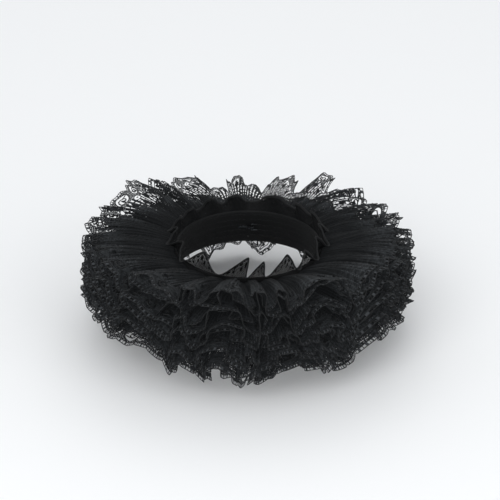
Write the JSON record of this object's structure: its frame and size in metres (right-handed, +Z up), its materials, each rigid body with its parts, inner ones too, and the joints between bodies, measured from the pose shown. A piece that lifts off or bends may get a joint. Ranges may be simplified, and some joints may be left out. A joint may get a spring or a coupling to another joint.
{
  "type": "ruff collar",
  "caption": "Gathered lace ruff worn round the neck: scalloped tiers and a narrow standing frill on a neckband that fastens at the back.",
  "frame": {"origin": "centre of the neckband, half way up it, on the wearer's neck axis", "axes": "+Z up along the neck, the wearer faces -Y, +X is the wearer's left"},
  "size_m": [0.269, 0.2684, 0.0982],
  "materials": {
    "black_lace": "matt openwork lace",
    "black_ribbon": "woven ribbon, slight sheen",
    "dark_metal": "dark lacquered wire"
  },
  "bodies": {
    "root": {"neckband": "black_ribbon", "tier_1_left": "black_lace", "tier_1_right": "black_lace", "tier_2_left": "black_lace", "tier_2_right": "black_lace", "tier_3_left": "black_lace", "tier_3_right": "black_lace", "tier_4_left": "black_lace", "tier_4_right": "black_lace", "tier_5_left": "black_lace", "tier_5_right": "black_lace", "standing_frill_left": "black_lace", "standing_frill_right": "black_lace", "hook": "dark_metal", "eye": "dark_metal"}
  },
  "joints": []
}
